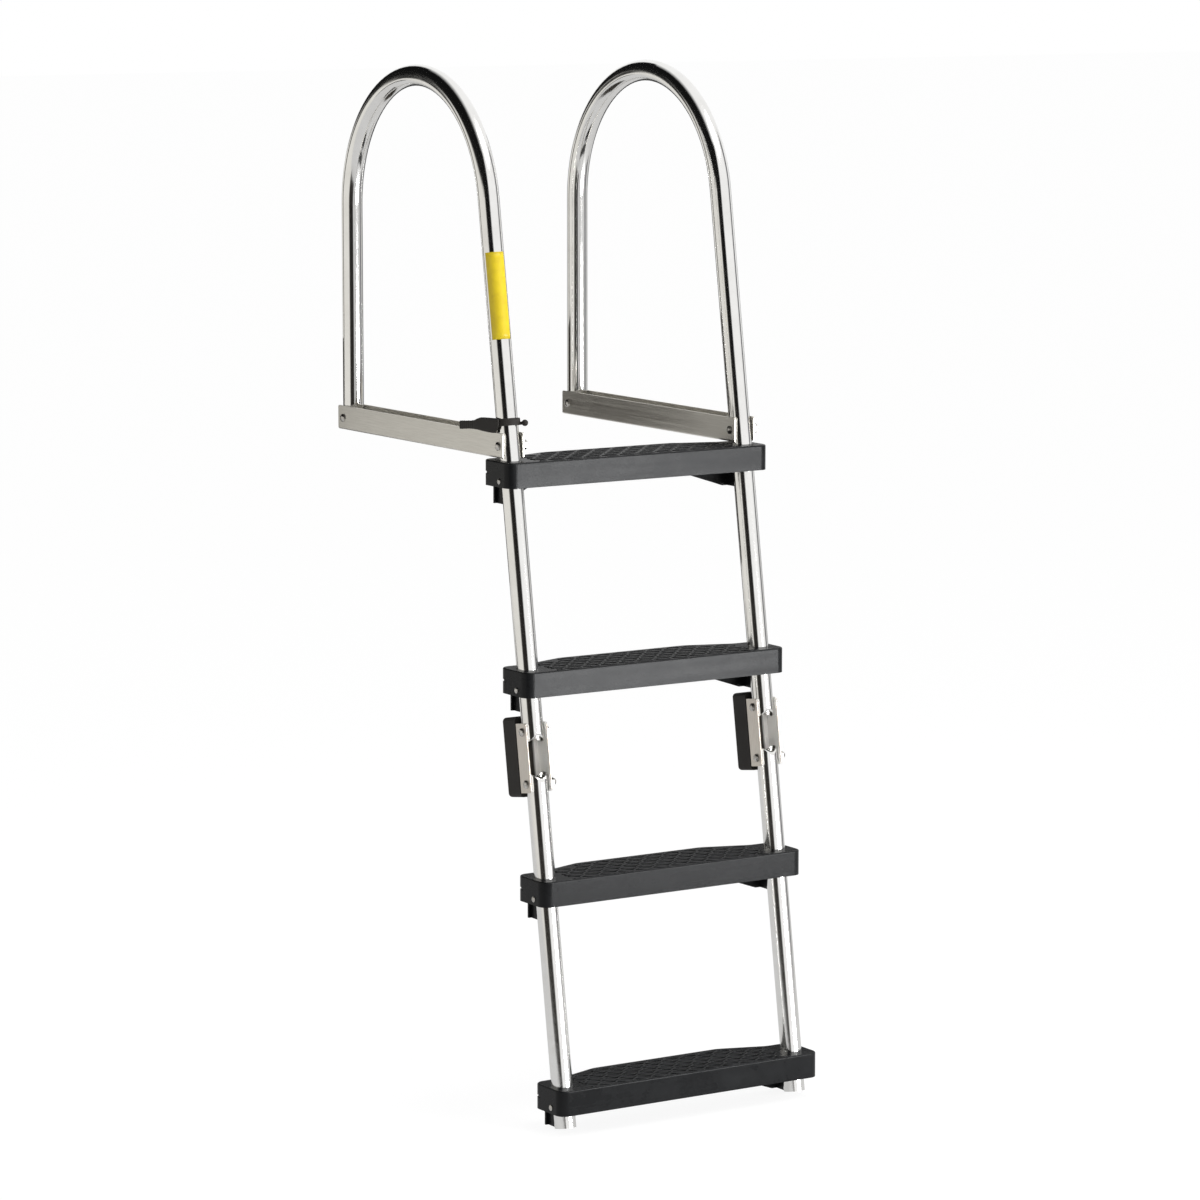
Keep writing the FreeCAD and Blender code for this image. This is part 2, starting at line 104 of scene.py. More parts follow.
# %% Camera
CAMERA_AZIMUTH = math.radians(-32.51)
CAMERA_ELEVATION = math.radians(-8.35)
CAMERA_DISTANCE = 7.0
CAMERA_LENS = 141.3
SENSOR_WIDTH = 36.0
AIM_SIDE = -38.92 * MM
AIM_DROP = -243.24 * MM

sight = Vector((-math.sin(CAMERA_AZIMUTH) * math.cos(CAMERA_ELEVATION),
                math.cos(CAMERA_AZIMUTH) * math.cos(CAMERA_ELEVATION),
                math.sin(CAMERA_ELEVATION)))
right = Vector((math.cos(CAMERA_AZIMUTH), math.sin(CAMERA_AZIMUTH), 0.0))
up = right.cross(sight)
aim = Vector((middle_x, front_bolt.y, front_bolt.z + AIM_DROP)) + right * AIM_SIDE
camera_data = bpy.data.cameras.new("camera")
camera_data.lens = CAMERA_LENS
camera_data.sensor_width = SENSOR_WIDTH
camera = bpy.data.objects.new("camera", camera_data)
bpy.context.scene.collection.objects.link(camera)
camera.matrix_world = (Matrix.Translation(aim - sight * CAMERA_DISTANCE)
                       @ Matrix((right, up, -sight)).transposed().to_4x4())
bpy.context.scene.camera = camera
print("camera at", tuple(round(v, 2) for v in camera.location))

# %% [markdown]
# ## Helpers
# Meshes are made from lists of points and faces. Shader nodes are made by short functions that set inputs
# by name, so each material below reads as a recipe. An input takes a link where it is given a socket, and
# a plain value otherwise.

# %% Mesh helpers


def add_mesh(name, points, faces, smooth=True):
    """A new mesh object in the scene."""
    mesh = bpy.data.meshes.new(name)
    mesh.from_pydata([tuple(p) for p in points], [], faces)
    mesh.update()
    for polygon in mesh.polygons:
        polygon.use_smooth = smooth
    obj = bpy.data.objects.new(name, mesh)
    bpy.context.scene.collection.objects.link(obj)
    return obj


def grid_faces(high, wide):
    """The faces of a sheet whose points lie in rows, wide points to a row."""
    return [[r * wide + c, r * wide + c + 1, (r + 1) * wide + c + 1, (r + 1) * wide + c]
            for r in range(high - 1) for c in range(wide - 1)]


def finish_with(obj, material):
    """Gives an object one material."""
    obj.data.materials.clear()
    obj.data.materials.append(material)


# %% Node helpers
MIX_FROM, MIX_TO, MIX_COLOUR = 6, 7, 2      # a Mix node's two colour inputs and its colour output


def feed(tree, node, inputs):
    """Gives a node its inputs, as links or as values."""
    for key, value in inputs.items():
        if isinstance(value, bpy.types.NodeSocket):
            tree.links.new(value, node.inputs[key])
        else:
            node.inputs[key].default_value = value


def add_node(tree, kind, inputs=None, **settings):
    """A new node with its settings and its inputs."""
    node = tree.nodes.new(kind)
    for key, value in settings.items():
        setattr(node, key, value)
    feed(tree, node, inputs or {})
    return node


def step(tree, kind, inputs=None, **settings):
    """The first output of a new node."""
    return add_node(tree, kind, inputs, **settings).outputs[0]


def maths(tree, operation, *values):
    """The result of one step of arithmetic."""
    return step(tree, "ShaderNodeMath", dict(enumerate(values)), operation=operation)


def mapped(tree, value, to_min, to_max, from_min=0.0, from_max=1.0):
    """A value carried from one range to another and held at the ends."""
    return step(tree, "ShaderNodeMapRange", {"Value": value, "From Min": from_min, "From Max": from_max,
                                             "To Min": to_min, "To Max": to_max})


def noise(tree, place, scale, detail, **more):
    """The value of a noise texture, with any other inputs by name."""
    inputs = {"Vector": place, "Scale": scale, "Detail": detail, **more}
    return add_node(tree, "ShaderNodeTexNoise", inputs).outputs["Fac"]


def bumped(tree, height, strength, distance):
    """The direction of a surface that carries this height."""
    return step(tree, "ShaderNodeBump", {"Height": height, "Strength": strength, "Distance": distance})


def two_tone(tree, mask, first, second):
    """A colour that goes from the first to the second with a mask. The first may be a socket."""
    if not isinstance(first, bpy.types.NodeSocket):
        first = (*first, 1.0)
    mix = add_node(tree, "ShaderNodeMix", {0: mask, MIX_FROM: first, MIX_TO: (*second, 1.0)},
                   data_type="RGBA")
    return mix.outputs[MIX_COLOUR]


def place_group(tree, group, inputs):
    """The outputs of a shader group that is placed in a material with its own values."""
    return add_node(tree, "ShaderNodeGroup", inputs, node_tree=group).outputs


def new_material(name):
    """A material with an empty Principled BSDF: (material, tree, shader, object coordinates)."""
    material = bpy.data.materials.new(name)
    material.use_nodes = True
    tree = material.node_tree
    place = tree.nodes.new("ShaderNodeTexCoord").outputs["Object"]
    return material, tree, tree.nodes["Principled BSDF"], place


def bare_material(name):
    """A material with no shader yet: (material, tree)."""
    material = bpy.data.materials.new(name)
    material.use_nodes = True
    tree = material.node_tree
    tree.nodes.remove(tree.nodes["Principled BSDF"])
    return material, tree


# %% [markdown]
# ## Shader groups
# Three effects show on more than one finish. Brushing is noise stretched along one axis. Handling marks are
# cloudy patches where fingers and water have dulled the surface. Moulded grain is the fine pebble of plastic.

# %% Shader groups


def new_group(name, inputs, outputs):
    """A shader group with float or vector inputs and float outputs: (group, its inputs, its end node)."""
    group = bpy.data.node_groups.new(name, "ShaderNodeTree")
    for label, kind, value in inputs:
        socket = group.interface.new_socket(label, in_out="INPUT", socket_type=kind)
        if value is not None:
            socket.default_value = value
    for label in outputs:
        group.interface.new_socket(label, in_out="OUTPUT", socket_type="NodeSocketFloat")
    entry = group.nodes.new("NodeGroupInput").outputs
    return group, entry, group.nodes.new("NodeGroupOutput")


def brushing_group():
    """Fine lines, and broader streaks among them."""
    group, entry, leave = new_group("brushing", [
        ("Vector", "NodeSocketVector", None),
        ("Stretch", "NodeSocketVector", (1.0, 1.0, 1.0)),
        ("Density", "NodeSocketFloat", 1500.0)], ["Lines", "Streaks"])
    stretched = step(group, "ShaderNodeVectorMath", {0: entry["Vector"], 1: entry["Stretch"]},
                     operation="MULTIPLY")
    broader = maths(group, "MULTIPLY", entry["Density"], 0.16)
    feed(group, leave, {"Lines": noise(group, stretched, entry["Density"], 4.0, Roughness=0.65),
                        "Streaks": noise(group, stretched, broader, 2.0)})
    return group


def handling_group():
    """1 in cloudy patches, 0 between them."""
    group, entry, leave = new_group("handling marks", [
        ("Vector", "NodeSocketVector", None),
        ("Patch Size", "NodeSocketFloat", 18.0),
        ("Coverage", "NodeSocketFloat", 0.5)], ["Mask"])
    cloud = noise(group, entry["Vector"], entry["Patch Size"], 6.0, Roughness=0.62, Distortion=0.4)
    shifted = maths(group, "ADD", cloud, entry["Coverage"])
    feed(group, leave, {"Mask": mapped(group, shifted, 0.0, 1.0, 0.85, 1.25)})
    return group


def grain_group():
    """The height of a fine pebble: rounded cells with cloudy noise over them."""
    group, entry, leave = new_group("moulded grain", [
        ("Vector", "NodeSocketVector", None),
        ("Density", "NodeSocketFloat", 900.0)], ["Height"])
    cells = step(group, "ShaderNodeTexVoronoi", {"Vector": entry["Vector"], "Scale": entry["Density"]},
                 feature="SMOOTH_F1")
    coarser = maths(group, "MULTIPLY", entry["Density"], 0.35)
    cloud = noise(group, entry["Vector"], coarser, 3.0)
    feed(group, leave, {"Height": maths(group, "ADD", cells, cloud)})
    return group


brushing = brushing_group()
handling = handling_group()
grain = grain_group()
print("shader groups:", brushing.name, "|", handling.name, "|", grain.name)

# %% [markdown]
# ## Polished tube
# The tubes are stainless steel polished to a mirror. Almost everything seen on them is a reflection, so the
# material is simple: high metallic, low roughness, and faint dull patches that soften the reflections here
# and there. The bands of light and dark come from the studio further down.

# %% Polished tube


def polished_tube():
    """Mirror-polished steel with faint dull patches and long, shallow dents."""
    material, tree, shader, place = new_material("polished_tube")
    marks = place_group(tree, handling, {"Vector": place, "Patch Size": 26.0, "Coverage": 0.46})["Mask"]
    drawn_out = step(tree, "ShaderNodeMapping", {"Vector": place, "Scale": (1.0, 0.35, 0.35)})
    dents = noise(tree, drawn_out, 34.0, 1.0)
    feed(tree, shader, {"Base Color": two_tone(tree, marks, (0.86, 0.855, 0.84), (0.78, 0.77, 0.75)),
                        "Roughness": mapped(tree, marks, 0.10, 0.17),
                        "Normal": bumped(tree, dents, 0.08, 1.0 * MM),
                        "Metallic": 1.0})
    return material


tube_steel = polished_tube()
print("made", tube_steel.name)

# %% [markdown]
# ## Brushed plate
# The deck channels and the hinge links are folded from brushed sheet. The brushing runs along the sheet, so
# the noise is stretched that way: along the deck for the channels, along the stringer for the links. The
# coordinates are first turned so that one axis follows the brushing. Inside, a link was never brushed: it is
# matt, and its colour is painted lighter, as the light that its far flange reflects. A dark stripe down the
# middle of its web, between the tubes' ends, is painted shade, and so is the darker tone of its cut edges.

# %% Brushed plate
LINK_INNER_HALF = 17.0 * MM
LINK_INNER_FADE = 0.4 * MM
# the inside's tone is painted light: lighter, as the light that the far flange's inner face reflects
LINK_INNER_LIGHTENED_TONE = (0.94, 0.93, 0.91)
LINK_INNER_ROUGHNESS = 0.8
# the dark stripe down the middle of the web is painted shade, where the web lies in shadow between the flanges
SHADE_STRIPE_HALF_WIDTH = 6.5 * MM
SHADE_STRIPE_FADE = 4.0 * MM
SHADE_STRIPE_TONE = (0.06, 0.054, 0.048)
LINK_FRONT_REACH = 12.0 * MM
# the cut edges along a link's mouth are painted darker, as shade
SHADED_EDGE_DEPTH = 0.3 * MM
SHADED_EDGE_TONE = (0.36, 0.33, 0.29)


def off_tube_plane(tree, place):
    """How far a point lies to the side of the nearer tube's middle plane."""
    side = step(tree, "ShaderNodeSeparateXYZ", {0: place})
    off_middle = maths(tree, "ABSOLUTE", maths(tree, "ADD", side, -middle_x))
    return maths(tree, "ABSOLUTE", maths(tree, "ADD", off_middle, -middle_x))


def falling(tree, value, start, fade, height=1.0):
    """The height up to the start, then down to 0 over the fade."""
    return mapped(tree, value, height, 0.0, start, start + fade)


def shaded_edge_mask(tree, place):
    """1 on the cut edges of a link's flanges, the part of it that lies farthest ahead of the tube's axis, where
    painted shade darkens them.
    """
    forward = add_node(tree, "ShaderNodeVectorMath", {0: place, 1: tuple(ahead)},
                       operation="DOT_PRODUCT").outputs["Value"]
    return maths(tree, "GREATER_THAN", forward, front_bolt.dot(ahead) + LINK_FRONT_REACH - SHADED_EDGE_DEPTH)


def brushed_plate(name, turn, light, dark, link=False):
    """Brushed sheet whose lines run along Y after a turn about X, in radians."""
    material, tree, shader, place = new_material(name)
    turned = step(tree, "ShaderNodeMapping", {"Vector": place, "Rotation": (turn, 0.0, 0.0)})
    lines = place_group(tree, brushing, {"Vector": turned, "Stretch": (1.0, 0.018, 1.0), "Density": 1700.0})
    marks = place_group(tree, handling, {"Vector": place, "Patch Size": 14.0, "Coverage": 0.5})["Mask"]
    base = two_tone(tree, mapped(tree, lines["Lines"], 0.0, 1.0, 0.32, 0.68), dark, light)
    rough = maths(tree, "MULTIPLY_ADD", marks, 0.06, mapped(tree, lines["Streaks"], 0.3, 0.44, 0.3, 0.7))
    if link:
        across = off_tube_plane(tree, place)
        # painted light: the inside is lightened, as the light reflected by the far flange
        lightened_inside = falling(tree, across, LINK_INNER_HALF, LINK_INNER_FADE)
        # painted shade: a dark stripe down the web's middle
        shade_stripe = falling(tree, across, SHADE_STRIPE_HALF_WIDTH, SHADE_STRIPE_FADE)
        # painted shade: a darker tone on the cut edges along the mouth
        edge = shaded_edge_mask(tree, place)
        for mask, tone in ((lightened_inside, LINK_INNER_LIGHTENED_TONE), (shade_stripe, SHADE_STRIPE_TONE), (edge, SHADED_EDGE_TONE)):
            base = two_tone(tree, mask, base, tone)
        matt = falling(tree, across, LINK_INNER_HALF, LINK_INNER_FADE, LINK_INNER_ROUGHNESS)
        rough = maths(tree, "MAXIMUM", rough, matt)
    feed(tree, shader, {"Base Color": base,
                        "Roughness": rough,
                        "Normal": bumped(tree, lines["Lines"], 0.22, 0.2 * MM),
                        "Metallic": 1.0})
    return material


lean = math.atan2(along.y, along.z)
channel_plate = brushed_plate("brushed_channel", 0.0, (0.82, 0.80, 0.75), (0.68, 0.66, 0.61))
link_plate = brushed_plate("brushed_link", math.pi / 2 - lean, (0.78, 0.73, 0.665), (0.62, 0.575, 0.52),
                           link=True)
print("made", channel_plate.name, "and", link_plate.name, "turned", round(math.degrees(lean), 2), "degrees")

# %% [markdown]
# ## Fasteners
# Bolts, washers and nuts are bright turned steel. They are small, so a slight all-round grain and a darker
# tone in the patches where grime collects are enough.

# %% Fastener steel


def fastener_steel():
    """Bright steel with a fine grain and small, darker patches."""
    material, tree, shader, place = new_material("fastener_steel")
    marks = place_group(tree, handling, {"Vector": place, "Patch Size": 160.0, "Coverage": 0.5})["Mask"]
    turned = noise(tree, place, 2600.0, 2.0)
    feed(tree, shader, {"Base Color": two_tone(tree, marks, (0.60, 0.585, 0.56), (0.32, 0.305, 0.285)),
                        "Roughness": mapped(tree, marks, 0.16, 0.36),
                        "Normal": bumped(tree, turned, 0.12, 0.1 * MM),
                        "Metallic": 1.0})
    return material


bolt_steel = fastener_steel()
print("made", bolt_steel.name)

# %% [markdown]
# ## Black plastic and rubber
# The treads are moulded in black plastic with a fine pebbled grain. The plastic itself is nearly black: the
# soft bluish grey of its long faces is the sheen of the lamps. Long, faint flow streaks vary that sheen, and
# hands and feet leave marks on it. The pads and the strap are a duller, warmer rubber.

# %% Tread plastic and rubber


def black_moulding(name, light, dark, smooth, rough, density, depth, patch, sheen, streak=0.0):
    """A black plastic or rubber: two near-black tones, a roughness range, a pebbled grain, flow streaks."""
    material, tree, shader, place = new_material(name)
    marks = place_group(tree, handling, {"Vector": place, "Patch Size": patch, "Coverage": 0.5})["Mask"]
    pebbles = place_group(tree, grain, {"Vector": place, "Density": density})["Height"]
    flow = place_group(tree, brushing, {"Vector": place, "Stretch": (0.03, 1.0, 1.0), "Density": 420.0})
    shine = mapped(tree, marks, smooth, rough)
    feed(tree, shader, {"Base Color": two_tone(tree, marks, dark, light),
                        "Roughness": maths(tree, "MULTIPLY_ADD", flow["Streaks"], streak, shine),
                        "Normal": bumped(tree, pebbles, depth, 0.2 * MM),
                        "Specular IOR Level": sheen})
    return material


tread_plastic = black_moulding("tread_plastic", (0.0135, 0.0142, 0.0152), (0.0075, 0.0078, 0.0085),
                               smooth=0.16, rough=0.23, density=1400.0, depth=0.30, patch=22.0,
                               sheen=0.15, streak=0.2)
pad_rubber = black_moulding("pad_rubber", (0.034, 0.030, 0.027), (0.020, 0.018, 0.016),
                            smooth=0.55, rough=0.75, density=1100.0, depth=0.45, patch=40.0, sheen=0.25)
print("made", tread_plastic.name, "and", pad_rubber.name)

# %% [markdown]
# ## Dressing the CAD pieces
# Each CAD piece keeps its shape and only takes a finish. The record names a material slot for every node, so
# the choice is made by slot, and the hinge links take the brushing that runs along the stringer.

# %% Finish every CAD node
finish_of_slot = {"polished_tube": tube_steel, "brushed_plate": channel_plate, "fastener": bolt_steel,
                  "tread_plastic": tread_plastic, "rubber": pad_rubber}
for part in frame["record"]["subparts"]:
    finish_with(frame["nodes"][part["node"]], finish_of_slot[part["material_slot"]])
for side in ("left", "right"):
    finish_with(frame["nodes"]["hinge_channel_" + side], link_plate)

# %% [markdown]
# ## Raised waves on the treads
# Bare feet need grip, so the top of each tread carries a pattern of raised ridges: pairs of waves that cross
# and close into a chain of loops. It repeats by rule, so Geometry Nodes make it. One row is a line bent
# into a sine wave and swept with a low, flat section.

# %% The wave tree
RIDGE_STEP = 2.0 * MM


def wave_tree():
    """Geometry Nodes: one ridge, a sine wave along X, swept with a flattened round section."""
    tree = bpy.data.node_groups.new("wave_ridge", "GeometryNodeTree")
    tree.interface.new_socket("Geometry", in_out="OUTPUT", socket_type="NodeSocketGeometry")
    for label in ("Row Length", "Wave Length", "Wave Height", "Phase", "Ridge Width", "Ridge Rise"):
        tree.interface.new_socket(label, in_out="INPUT", socket_type="NodeSocketFloat")
    tree.interface.new_socket("Finish", in_out="INPUT", socket_type="NodeSocketMaterial")
    entry = tree.nodes.new("NodeGroupInput").outputs

    half = maths(tree, "MULTIPLY", entry["Row Length"], 0.5)
    start = step(tree, "ShaderNodeCombineXYZ", {"X": maths(tree, "MULTIPLY", half, -1.0)})
    end = step(tree, "ShaderNodeCombineXYZ", {"X": half})
    line = step(tree, "GeometryNodeCurvePrimitiveLine", {"Start": start, "End": end})
    fine = step(tree, "GeometryNodeResampleCurve", {"Curve": line, "Length": RIDGE_STEP}, mode="LENGTH")
    along_x = step(tree, "ShaderNodeSeparateXYZ", {0: step(tree, "GeometryNodeInputPosition")})
    turns = maths(tree, "DIVIDE", maths(tree, "MULTIPLY", along_x, 2 * math.pi), entry["Wave Length"])
    sine = maths(tree, "SINE", maths(tree, "ADD", turns, entry["Phase"]))
    offset = step(tree, "ShaderNodeCombineXYZ", {"Y": maths(tree, "MULTIPLY", sine, entry["Wave Height"])})
    bent = step(tree, "GeometryNodeSetPosition", {"Geometry": fine, "Offset": offset})
    upright = step(tree, "GeometryNodeSetCurveNormal", {"Curve": bent}, mode="Z_UP")
    circle = step(tree, "GeometryNodeCurvePrimitiveCircle", {"Resolution": 8, "Radius": 1.0}, mode="RADIUS")
    half_width = maths(tree, "MULTIPLY", entry["Ridge Width"], 0.5)
    size = step(tree, "ShaderNodeCombineXYZ", {"X": half_width, "Y": entry["Ridge Rise"], "Z": 1.0})
    flat = step(tree, "GeometryNodeTransform", {"Geometry": circle, "Scale": size})
    swept = step(tree, "GeometryNodeCurveToMesh", {"Curve": upright, "Profile Curve": flat,
                                                   "Fill Caps": True})
    smooth = step(tree, "GeometryNodeSetShadeSmooth", {"Geometry": swept})
    real = step(tree, "GeometryNodeRealizeInstances", {"Geometry": smooth})
    done = step(tree, "GeometryNodeSetMaterial", {"Geometry": real, "Material": entry["Finish"]})
    feed(tree, tree.nodes.new("NodeGroupOutput"), {"Geometry": done})
    return tree


def grown(name, tree, values):
    """Runs a Geometry Nodes tree with named inputs and returns the result as a plain mesh."""
    seed = bpy.data.objects.new(name, bpy.data.meshes.new(name))
    bpy.context.scene.collection.objects.link(seed)
    modifier = seed.modifiers.new("grow", "NODES")
    modifier.node_group = tree
    for item in tree.interface.items_tree:
        if item.item_type == "SOCKET" and item.in_out == "INPUT" and item.name in values:
            modifier[item.identifier] = values[item.name]
    mesh = bpy.data.meshes.new_from_object(seed.evaluated_get(bpy.context.evaluated_depsgraph_get()))
    bpy.data.objects.remove(seed)
    return mesh


waves = wave_tree()
print("wave tree inputs:", [i.name for i in waves.interface.items_tree if i.in_out == "INPUT"])

# %% [markdown]
# ## Where the rows end
# A tread is deepest in the middle: from a flat stretch at each end, its rear edge slants out to the bow. A
# row near that edge must end where the edge turns in, and every row must end short of the tubes, so each row
# gets its own length.

# %% The tread's plan
TREAD_DEPTH_AT_END = 76.2 * MM
TREAD_BOW = 25.4 * MM
TREAD_END_FLAT = 44.0 * MM
TREAD_BOW_RUN = 74.0 * MM
RIDGE_MARGIN = 8.0 * MM
TUBE_MARGIN = 14.0 * MM
tread_low, tread_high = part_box("tread_1")
knee = (tread_high.x - tread_low.x) / 2 - TREAD_END_FLAT
between_tubes = SIDE_SPACING / 2 - TUBE_RADIUS - TUBE_MARGIN
print("knee", round(knee, 4), "between tubes", round(between_tubes, 4), "from the tread's middle")


def row_half_length(rear_reach):
    """How far a row may run each way from the middle, if its waves reach this far back."""
    past_end = max(rear_reach + RIDGE_MARGIN - TREAD_DEPTH_AT_END / 2, 0.0)
    return min(between_tubes, knee - TREAD_BOW_RUN * past_end / TREAD_BOW)


# %% [markdown]
# ## The rows of one tread
# Each row has two waves, the second half a turn later than the first. Every second row starts a quarter turn
# later, so that its loops sit in the gaps of the rows beside it. The ridges stand on the tread's top face.

# %% Waves on every tread
WAVE_HEIGHT = 8.4 * MM
WAVE_LENGTH = 62.0 * MM
RIDGE_WIDTH = 3.4 * MM
RIDGE_RISE = 1.2 * MM
ROW_STEP = 17.2 * MM
FIRST_ROW = -25.5 * MM
ROWS = 5


def tread_waves(name, centre):
    """All ridges of one tread, joined, standing on its top face."""
    points = []
    faces = []
    for row in range(ROWS):
        y = FIRST_ROW + row * ROW_STEP
        half = row_half_length(y + WAVE_HEIGHT)
        if half < WAVE_LENGTH:
            continue
        shift = (row % 2) * math.pi / 2
        for phase in (shift, shift + math.pi):
            mesh = grown("ridge", waves, {"Row Length": 2 * half, "Wave Length": WAVE_LENGTH,
                                          "Wave Height": WAVE_HEIGHT, "Phase": phase,
                                          "Ridge Width": RIDGE_WIDTH, "Ridge Rise": RIDGE_RISE,
                                          "Finish": tread_plastic})
            first = len(points)
            points += [vertex.co + Vector((0.0, y, 0.0)) + centre for vertex in mesh.vertices]
            faces += [[first + i for i in polygon.vertices] for polygon in mesh.polygons]
            bpy.data.meshes.remove(mesh)
    obj = add_mesh(name, points, faces)
    finish_with(obj, tread_plastic)
    return obj


tread_bodies = ("upper_section", "upper_section", "lower_section", "lower_section")
for number_of, body in enumerate(tread_bodies, start=1):
    low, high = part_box("tread_%d" % number_of)
    top = Vector((middle_x, low.y + TREAD_DEPTH_AT_END / 2, high.z))
    ridges = tread_waves("tread_waves_%d" % number_of, top)
    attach(ridges, body)
    print(ridges.name, "triangles", sum(len(p.vertices) - 2 for p in ridges.data.polygons))

# %% [markdown]
# ## Marker tape
# A strip of yellow tape is wrapped round the front of the left handrail. It is plain here. It follows the
# tube as a thin curved shell, so it is made from an arc of the tube's circle, moved along the stringer. A
# hair of air is left under it, so that the two faces never flicker.

# %% Marker tape
TAPE_LIFT = 0.25 * MM
TAPE_AIR = 0.05 * MM
TAPE_MIDDLE = math.radians(12.0)
TAPE_SPREAD = math.radians(112.0)
TAPE_TOP = -281.5 * MM
TAPE_LENGTH = 127.0 * MM
TAPE_COLUMNS = 24
TAPE_ROWS = 16


def tape_yellow():
    """Yellow plastic film with faint patches of wear."""
    material, tree, shader, place = new_material("tape_yellow")
    marks = place_group(tree, handling, {"Vector": place, "Patch Size": 60.0, "Coverage": 0.46})["Mask"]
    fine = noise(tree, place, 1500.0, 3.0)
    feed(tree, shader, {"Base Color": two_tone(tree, marks, (0.82, 0.62, 0.008), (0.69, 0.50, 0.008)),
                        "Normal": bumped(tree, fine, 0.08, 0.1 * MM),
                        "Roughness": 0.42})
    return material


def marker_tape():
    """The strip, centred a little to the right of the side that faces the camera."""
    points = []
    for row in range(TAPE_ROWS + 1):
        centre = on_stringer(TAPE_TOP + TAPE_LENGTH * row / TAPE_ROWS)
        for column in range(TAPE_COLUMNS + 1):
            share = column / TAPE_COLUMNS - 0.5
            angle = CAMERA_AZIMUTH + TAPE_MIDDLE + TAPE_SPREAD * share
            points.append(centre + outwards(angle) * (TUBE_RADIUS + TAPE_LIFT))
    strip = add_mesh("marker_tape", points, grid_faces(TAPE_ROWS + 1, TAPE_COLUMNS + 1))
    shell = strip.modifiers.new("thickness", "SOLIDIFY")
    shell.thickness = TAPE_LIFT - TAPE_AIR
    shell.offset = -1.0
    finish_with(strip, tape_yellow())
    return strip


tape = marker_tape()
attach(tape, "upper_section")
print("tape from", [round(v, 3) for v in tape.data.vertices[0].co], "points", len(tape.data.vertices))

# %% [markdown]
# ## Stowing strap
# The strap on the left stringer holds the folded ladder. The CAD piece is a plain band. Here it gets its real
# outline: a ribbed grip at the tail, a hump, and a deep lobe where the tail meets the loop round the tube.
# Both parts are lofts: a rounded section placed at station after station along a path.

# %% Lofts
SECTION_POINTS = 20
SECTION_ROUNDING = 0.5


def rounded_section(half_across, half_along):
    """Points round a rectangle with well rounded corners, as (across, along) pairs."""
    pairs = []
    for i in range(SECTION_POINTS):
        angle = 2 * math.pi * i / SECTION_POINTS
        pairs.append([math.copysign(abs(part) ** SECTION_ROUNDING, part) * half
                      for part, half in ((math.cos(angle), half_across), (math.sin(angle), half_along))])
    return pairs


def loft(rings, closed):
    """Points and faces of rings joined in turn, as a tube with caps or as a closed loop."""
    count = len(rings)
    wide = len(rings[0])
    faces = []
    for r in range(count if closed else count - 1):
        this, following = r * wide, (r + 1) % count * wide
        faces += [[this + c, this + (c + 1) % wide, following + (c + 1) % wide, following + c]
                  for c in range(wide)]
    if not closed:
        faces += [list(reversed(range(wide))), [(count - 1) * wide + c for c in range(wide)]]
    return [point for ring in rings for point in ring], faces


# %% Stowing strap
STRAP_THICKNESS = 3.2 * MM
LOOP_SLIDE = -34.0 * MM
LOOP_HALF_WIDTH = 5.4 * MM
LOOP_STEPS = 64
TAIL_SLIDE = -31.0 * MM
TAIL_STEPS = 106
# distance behind the loop's middle, top and bottom height above the deck channel's underside, in mm
TAIL_OUTLINE = [(-8.0, 57.5, 47.5), (-4.0, 58.2, 41.5), (-1.0, 58.4, 36.8), (8.0, 58.0, 36.0),
                (16.8, 57.6, 36.0), (28.0, 57.0, 36.1), (38.8, 56.2, 36.4), (44.0, 55.2, 36.8),
                (49.8, 53.4, 37.0), (58.0, 50.6, 36.9), (71.8, 48.6, 36.4), (85.0, 47.4, 35.0),
                (97.5, 46.4, 33.4), (99.3, 45.6, 34.0)]
GRIP_START = 58.0
RIB_STEP = 5.8
RIB_DEPTH = 0.35
RIB_DEPTH_TALL = 1.4        # the ribs' depth on top and bottom, as a multiple of that on the faces
strap_low, strap_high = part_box("stow_strap")


def strap_loop():
    """The band round the tube."""
    middle = on_stringer(LOOP_SLIDE)
    radius = strap_high.x - STRAP_THICKNESS / 2
    rings = []
    for i in range(LOOP_STEPS):
        away = outwards(2 * math.pi * i / LOOP_STEPS)
        rings.append([middle + away * (radius + u) + along * v
                      for u, v in rounded_section(STRAP_THICKNESS / 2, LOOP_HALF_WIDTH)])
    return loft(rings, True)


def outline_at(reach):
    """Top and bottom of the tail at a distance behind the loop."""
    for (r0, top0, low0), (r1, top1, low1) in zip(TAIL_OUTLINE, TAIL_OUTLINE[1:]):
        if reach <= r1:
            share = (reach - r0) / (r1 - r0)
            share = share * share * (3 - 2 * share)
            return top0 + (top1 - top0) * share, low0 + (low1 - low0) * share
    return TAIL_OUTLINE[-1][1:]


def strap_tail():
    """The tail that lies along the deck channel's outer face, with ribs round its grip."""
    middle_y = on_stringer(TAIL_SLIDE).y
    first, last = TAIL_OUTLINE[0][0], TAIL_OUTLINE[-1][0]
    rings = []
    for i in range(TAIL_STEPS + 1):
        reach = first + (last - first) * i / TAIL_STEPS
        top, low = outline_at(reach)
        pinch = 0.0
        if reach > GRIP_START:
            pinch = RIB_DEPTH * (1 - math.cos(2 * math.pi * (reach - GRIP_START) / RIB_STEP)) / 2
        half_thick = STRAP_THICKNESS / 2 - pinch * MM
        half_tall = ((top - low) / 2 - RIB_DEPTH_TALL * pinch) * MM
        centre = Vector((strap_low.x + STRAP_THICKNESS / 2, middle_y + reach * MM, (top + low) / 2 * MM))
        rings.append([centre + Vector((u, 0.0, v)) for u, v in rounded_section(half_thick, half_tall)])
    return loft(rings, False)


